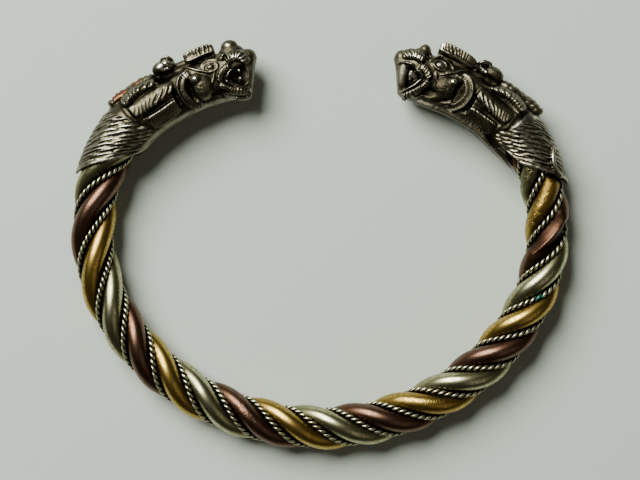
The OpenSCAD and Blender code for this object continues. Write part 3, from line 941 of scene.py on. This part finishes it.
def straight_head(side):
    casting = casting_with_mouth(side)
    forms = head_forms(side)
    one_flank = forms.verts[:] + forms.edges[:] + forms.faces[:]
    bmesh.ops.mirror(forms, geom=one_flank, matrix=Matrix(), merge_dist=0, axis="Z")
    if side > 0:
        back_plate(forms)
    forms.from_mesh(casting)
    mesh = with_modifier(solid_object(forms), "REMESH", mode="VOXEL", voxel_size=grain_mm)
    main_part(mesh)
    co = read(mesh.vertices, "co", 3)
    edges = read(mesh.edges, "vertices", 2, np.int64)
    co = eased(co, edges, 1)
    mesh.vertices.foreach_set("co", co.ravel())
    mesh.update()
    facing = read(mesh.vertices, "normal", 3)
    points = [Vector(point) for point in co]
    wander = np.array([noise.noise(point * 0.3) for point in points])
    rough = np.array([noise.noise(point * 1.3) + 0.6 * noise.noise(point * 3.4) for point in points])
    pitted = np.array([noise.noise(point * 5.5) for point in points])
    jowl = np.exp(
        -((co[:, 0] - jowl_u) / jowl_reach_u) ** 2 - ((co[:, 1] - jowl_v) / jowl_reach_v) ** 2)
    lines, mane = hair(*co.T, wander, side)
    sunk = 0
    for u, v, reach_u, reach_v, depth in hollows[side]:
        near = ((co[:, 0] - u) / reach_u) ** 2 + ((co[:, 1] - v) / reach_v) ** 2
        sunk = sunk + depth * np.exp(-near ** 2)
    sunk = sunk * np.clip((hollow_below - over_skin(*co.T)) / hollow_below_fade, 0, 1)
    sunk = sunk * np.clip((np.abs(co[:, 2]) - hollow_off_middle) / hollow_middle_fade, 0, 1)
    moved = lines - sunk + (casting_rough + jowl_rough * jowl) * rough + jowl_pitted * jowl * pitted
    co = co + facing * moved[:, None]
    co = eased(co, edges, 1)
    over = np.maximum(0, np.abs(co[:, 2]) - worn_flat_from)
    co[:, 2] -= np.sign(co[:, 2]) * over * worn_share
    mesh.vertices.foreach_set("co", co.ravel())
    mesh.update()
    facing = read(mesh.vertices, "normal", 3)
    raised = ((co - eased(co, edges, smoothing_rounds)) * facing).sum(1)
    top_lock = np.interp(co[:, 0], copper_u, [0, 1, 1, 0]) * np.interp(co[:, 1], copper_above_v, [0, 1])
    # The toned attribute carries the spots' painted shade and painted highlights, with their dark toning
    stored = {
        "raised": raised, "height": over_skin(*co.T), "along": co[:, 0], "out": co[:, 1],
        "coppered": top_lock * (side < 0), "mane": mane, "toned": toned(co, painted_light_and_toning_spots[side])}
    for name, values in stored.items():
        mesh.attributes.new(name, "FLOAT", "POINT").data.foreach_set("value", values.astype(np.float32))
    share = most_triangles / sum(len(face.vertices) - 2 for face in mesh.polygons)
    return with_modifier(as_object(mesh), "DECIMATE", ratio=min(1, share))


def bent_head(name, node, side, cap):
    """Bends a straight head to the curve of the cuff and gives it its place on the end of the twist."""
    mesh = straight_head(side)
    u, v, w = read(mesh.vertices, "co", 3).T
    stops = np.arange(-1, 33, 0.2)
    x, y, heading = np.array([station(side * (cap + stop)) for stop in stops]).T
    turned = np.interp(u, stops, heading)
    placed = np.stack((
        np.interp(u, stops, x) + v * np.sin(turned),
        np.interp(u, stops, y) - v * np.cos(turned),
        w), 1)
    mesh.vertices.foreach_set("co", placed.ravel())
    bm = bmesh.new()
    bm.from_mesh(mesh)
    bpy.data.meshes.remove(mesh)
    piece = finished(name, bm)
    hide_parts(node)
    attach(piece, "root")
    return piece


heads = [
    bent_head("dragon_head_left", "head_left", -1, left_cap),
    bent_head("dragon_head_right", "head_right", 1, right_cap)]
n = Nodes("cast head")
place = n.add("TexCoord").outputs["Object"]
grime = n.noise(place, 900.0, 4.0, 0.65)
cloud = n.noise(place, 260.0, 3.0, 0.6)
speck = n.noise(place, 1500.0, 3.0, 0.65)
raised = n.stored("raised")
mane = n.stored("mane")
along = n.stored("along")
out = n.stored("out")
# dull is the spots' painted shade with dark toning, rubbed is their painted highlights
dull = n.between(n.stored("toned"), 0.0, 1.0)
rubbed = n.between(n.stored("toned"), 0.0, -1.0)
# The plain parts that were never engraved: the strip along the wrist side, the
# front of the jaws and the brow. They and the hair show at any height
strip_part = n.between(out, -3.3, -3.8)
front_part = n.math("MULTIPLY", n.between(along, 29.2, 29.9), n.between(out, 1.2, 0.3))
brow_part = n.math("MULTIPLY", n.between(along, 18.6, 20.2), n.between(out, -0.8, 0.9))
plain_part = n.math("MULTIPLY", n.math("MAXIMUM", front_part, brow_part), 0.75)
plain_part = n.math("MAXIMUM", plain_part, strip_part)
showing = n.math("MAXIMUM", n.math("MAXIMUM", mane, plain_part), n.between(n.stored("height"), -0.2, 0.5))
# Worn bright on what stands out, less so under clouds and specks and under the
# spots' painted shade and dark toning, with painted highlights at the spots painted bright
uneven = n.math("MULTIPLY", n.math("SUBTRACT", grime, 0.5), 1.2)
worn = n.math("ADD", n.math("MULTIPLY", raised, 16.0), uneven)
hair_shine = n.math("MULTIPLY", n.between(worn, 0.15, 1.0, 0.0, 0.78), mane)
bright = n.math("MAXIMUM", n.between(worn, 0.45, 1.6), hair_shine)
bright = n.math("MULTIPLY", bright, n.between(cloud, 0.3, 0.6, 0.6, 1.0))
bright = n.math("MULTIPLY", bright, n.between(speck, 0.38, 0.55, 0.5, 1.0))
unlike_strip = n.math("SUBTRACT", showing, n.math("MULTIPLY", strip_part, 0.5), clamp=True)
bright = n.math("MULTIPLY", bright, unlike_strip)
bright = n.math("MULTIPLY", bright, n.math("SUBTRACT", 1.0, n.math("MULTIPLY", dull, 0.85)))
bright = n.math("MAXIMUM", bright, n.math("MULTIPLY", rubbed, n.between(worn, -0.4, 0.5)))
smooth_part = n.math("MAXIMUM", strip_part, n.math("MULTIPLY", front_part, 0.9))
smooth_part = n.math("MULTIPLY", smooth_part, n.math("SUBTRACT", 1.0, dull))
bright = n.math("MAXIMUM", bright, n.math("MULTIPLY", smooth_part, n.between(grime, 0.35, 0.65, 0.0, 0.26)))
# Near black in the recesses, dark grey on the rest, darker under the spots' painted shade and toning, and
# pale where it is bright
shown = n.math("MULTIPLY", n.between(worn, -1.5, 0.4), n.math("ADD", n.math("MULTIPLY", showing, 0.7), 0.3))
shown = n.math("MULTIPLY", shown, n.math("SUBTRACT", 1.0, n.math("MULTIPLY", dull, 0.7)))
tone = n.mix(shown, (0.013, 0.011, 0.006, 1), (0.126, 0.110, 0.070, 1))
silver = n.mix(bright, tone, (0.54, 0.525, 0.435, 1))
patch = n.math("MULTIPLY", n.between(n.noise(place, 700.0), 0.36, 0.52), n.stored("coppered"))
reddened = n.mix(bright, (0.14, 0.055, 0.024, 1), (0.60, 0.37, 0.21, 1))
rough = n.math("MULTIPLY", n.math("MAXIMUM", dull, front_part), 0.14)
rough = n.math("ADD", n.between(bright, 0.0, 1.0, 0.34, 0.20), rough)
n.give(
    Base_Color=n.mix(patch, silver, reddened),
    Metallic=1.0,
    Roughness=n.math("ADD", rough, n.between(grime, 0.4, 0.7, 0.0, 0.08)))
for piece in heads:
    piece.data.materials.append(n.material)


# The plain pale surface that the bangle lies on: a matt sheet, far wider than
# the view, level with the lowest points of the cuff.
floor_half = 0.6
floor_mesh = bmesh.new()
bmesh.ops.create_grid(floor_mesh, x_segments=1, y_segments=1, size=floor_half)
mesh = bpy.data.meshes.new("floor")
floor_mesh.to_mesh(mesh)
floor_mesh.free()
floor = bpy.data.objects.new("floor", mesh)
bpy.context.scene.collection.objects.link(floor)
n = Nodes("pale surface")
n.give(Base_Color=(0.520, 0.570, 0.500, 1), Roughness=0.8)
floor.data.materials.append(n.material)


# Soft light from a window at the upper left, a little warm light from the room
# at the lower right, and the dim glow of its walls.
room_colour = (0.60, 0.55, 0.44, 1)
room_glow = 0.06


def lamp(name, place, size, power, colour):
    """A round soft lamp (m, W) that points at the bangle."""
    data = bpy.data.lights.new(name, "AREA")
    data.shape = "DISK"
    data.size = size
    data.energy = power
    data.color = colour
    item = bpy.data.objects.new(name, data)
    item.location = place
    item.rotation_euler = (-Vector(place)).to_track_quat("-Z", "Y").to_euler()
    bpy.context.scene.collection.objects.link(item)


lamp("window", (-0.34, 0.40, 0.55), 0.55, 14.5, (0.98, 1.0, 0.95))
lamp("room", (0.5, -0.3, 0.8), 0.8, 0.5, (1.0, 0.93, 0.82))
world = bpy.data.worlds.new("room")
world.use_nodes = True
background = world.node_tree.nodes["Background"]
background.inputs["Color"].default_value = room_colour
background.inputs["Strength"].default_value = room_glow
bpy.context.scene.world = world


# The camera looks straight down on the bangle, as in the photo: from 300 mm
# above it, with a view 97 mm wide at the middle of the twist.
view_middle = Vector((0.00004, 0.0008, 0.004))
view_width = 0.09697
view_from = 0.30
sensor_mm = 36
camera_data = bpy.data.cameras.new("camera")
camera_data.sensor_width = sensor_mm
camera_data.lens = sensor_mm * view_from / view_width
camera_data.clip_start = 0.01
camera = bpy.data.objects.new("camera", camera_data)
camera.location = view_middle + Vector((0, 0, view_from))
bpy.context.scene.collection.objects.link(camera)
bpy.context.scene.camera = camera
